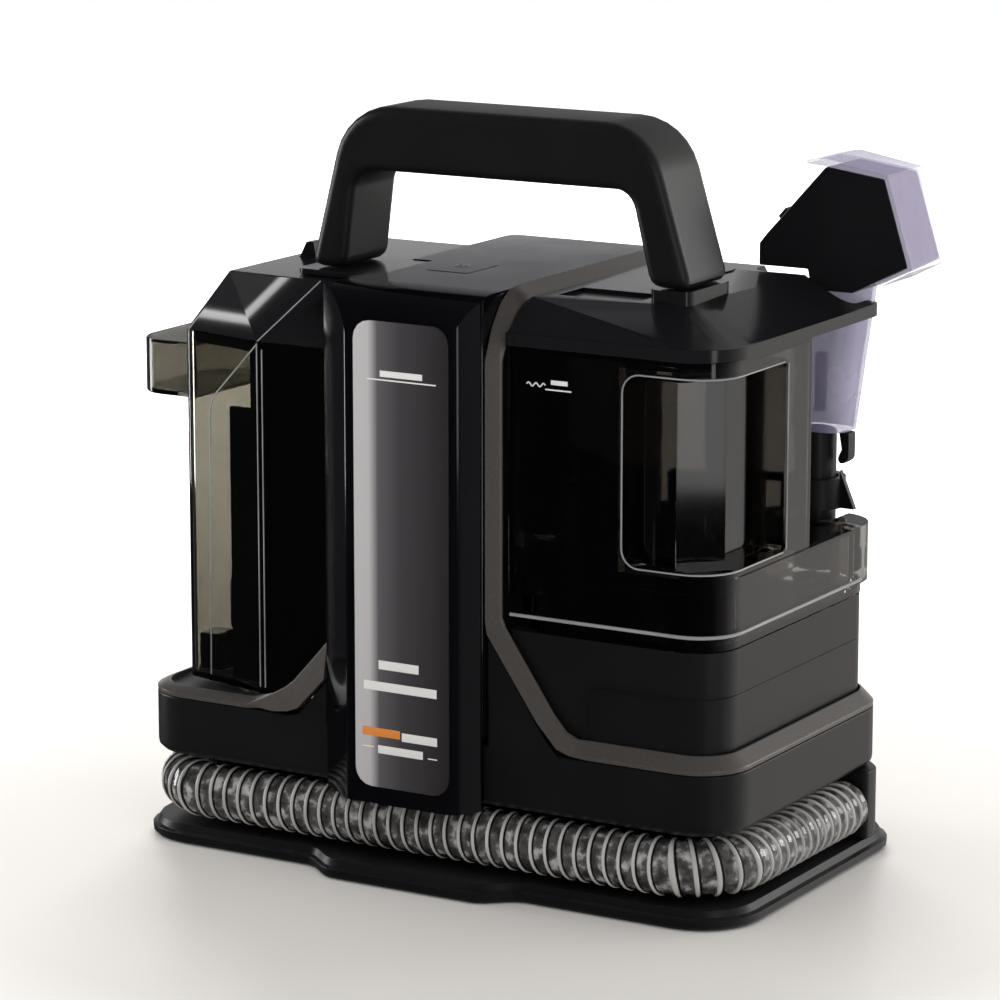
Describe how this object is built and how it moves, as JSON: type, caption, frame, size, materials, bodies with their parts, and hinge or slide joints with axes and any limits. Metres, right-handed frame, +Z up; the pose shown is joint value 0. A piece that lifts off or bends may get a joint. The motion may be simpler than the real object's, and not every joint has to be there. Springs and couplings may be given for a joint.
{
  "type": "carpet cleaner machine",
  "caption": "Portable carpet spot cleaner: smoke-tinted clean and dirty water tanks beside a central column, arched carry handle, hand tool at the back and a ribbed hose wrapped round the base.",
  "frame": {"origin": "middle of the bounding box's underside, on the floor", "axes": "+X to the machine's right, where the clean tank is; +Y to its back, where the tool stands; +Z up"},
  "size_m": [0.3758, 0.2292, 0.3736],
  "materials": {
    "satin_abs": "satin moulded ABS",
    "gloss_abs": "high gloss black ABS",
    "trim_paint": "metallic grey paint on a plastic trim",
    "badge_metal": "brushed and tinted foil",
    "rubber": "matt",
    "smoke_tank": "smoke tinted and see-through",
    "dark_smoke_tank": "dark smoke tinted, nearly opaque",
    "clear_polycarbonate": "clear with a faint violet tint",
    "motor_steel": "bright steel",
    "heater_alloy": "cast",
    "board_green": "solder mask over glass-fibre board",
    "white_nylon": "natural nylon",
    "hose_pvc": "translucent grey with a dark spiral"
  },
  "bodies": {
    "machine": {"air_duct": "satin_abs", "badge_panel": "badge_metal", "base_plate": "satin_abs", "carry_handle": "satin_abs", "column_cover": "gloss_abs", "control_board": "board_green", "cord_inlet": "rubber", "exhaust_filter": "rubber", "fan_housing": "white_nylon", "handle_wing": "satin_abs", "heater_block": "heater_alloy", "hose": "hose_pvc", "hose_core": "satin_abs", "hose_port": "satin_abs", "left_trim": "trim_paint", "lower_deck": "satin_abs", "mains_switch": "white_nylon", "pump_housing": "satin_abs", "rear_panel": "satin_abs", "right_trim": "trim_paint", "rubber_foot_back_left": "rubber", "rubber_foot_back_right": "rubber", "rubber_foot_front_left": "rubber", "rubber_foot_front_right": "rubber", "suction_pipe": "satin_abs", "tool_cradle": "satin_abs", "top_cover": "gloss_abs", "top_deck": "gloss_abs", "tower_shell": "satin_abs", "tub_shell": "satin_abs", "vacuum_motor": "motor_steel", "water_dock": "satin_abs", "water_pump": "white_nylon", "water_tube": "clear_polycarbonate"},
    "dirty_tank_unit": {"dirty_tank": "smoke_tank", "dirty_lid": "dark_smoke_tank", "dirty_seal": "rubber", "pour_grip": "smoke_tank", "separator_tube": "satin_abs", "tank_foot": "satin_abs"},
    "float": {"float_shutter": "satin_abs"},
    "clean_tank_unit": {"clean_tank": "dark_smoke_tank", "tank_valve": "satin_abs"},
    "outlet_pin": {"valve_pin": "motor_steel"},
    "filler_flap": {"filler_cap": "gloss_abs"},
    "button": {"power_button": "gloss_abs"},
    "fan_wheel": {"impeller": "white_nylon"},
    "hand_tool": {"tool_grip": "satin_abs", "tool_neck": "clear_polycarbonate", "tool_head": "satin_abs", "nozzle_hood": "clear_polycarbonate", "spray_nozzle": "satin_abs", "hose_cuff": "satin_abs"},
    "trigger": {"tool_trigger": "satin_abs"}
  },
  "joints": [
    {"name": "dirty_tank_pull", "type": "slide", "parent": "machine", "child": "dirty_tank_unit", "axis": [-1, 0, 0], "range_m": [0, 0.12]},
    {"name": "float_rise", "type": "slide", "parent": "dirty_tank_unit", "child": "float", "axis": [0, 0, 1], "range_m": [0, 0.07]},
    {"name": "clean_tank_pull", "type": "slide", "parent": "machine", "child": "clean_tank_unit", "axis": [0, -1, 0], "range_m": [0, 0.18]},
    {"name": "valve_pin_push", "type": "slide", "parent": "clean_tank_unit", "child": "outlet_pin", "axis": [0, -1, 0], "range_m": [0, 0.002], "stiffness_N_per_m": 150},
    {"name": "filler_flap_hinge", "type": "hinge", "parent": "machine", "child": "filler_flap", "pos_m": [0.0781, 0.05632, 0.2916], "axis": [-1, 0, 0], "range_deg": [0, 100]},
    {"name": "button_press", "type": "slide", "parent": "machine", "child": "button", "axis": [0, 0, -1], "range_m": [0, 0.001], "stiffness_N_per_m": 1500, "springref_m": -0.0005},
    {"name": "fan_spin", "type": "hinge", "parent": "machine", "child": "fan_wheel", "pos_m": [-0.0059, 0.00772, 0.137], "axis": [0, 0, 1], "continuous": true},
    {"name": "tool_lift", "type": "slide", "parent": "machine", "child": "hand_tool", "axis": [0, 0, 1], "range_m": [0, 0.09]},
    {"name": "trigger_squeeze", "type": "hinge", "parent": "hand_tool", "child": "trigger", "pos_m": [0.1421, 0.07572, 0.209], "axis": [0, 1, 0], "range_deg": [0, 9], "stiffness_Nm_per_rad": 0.2}
  ]
}
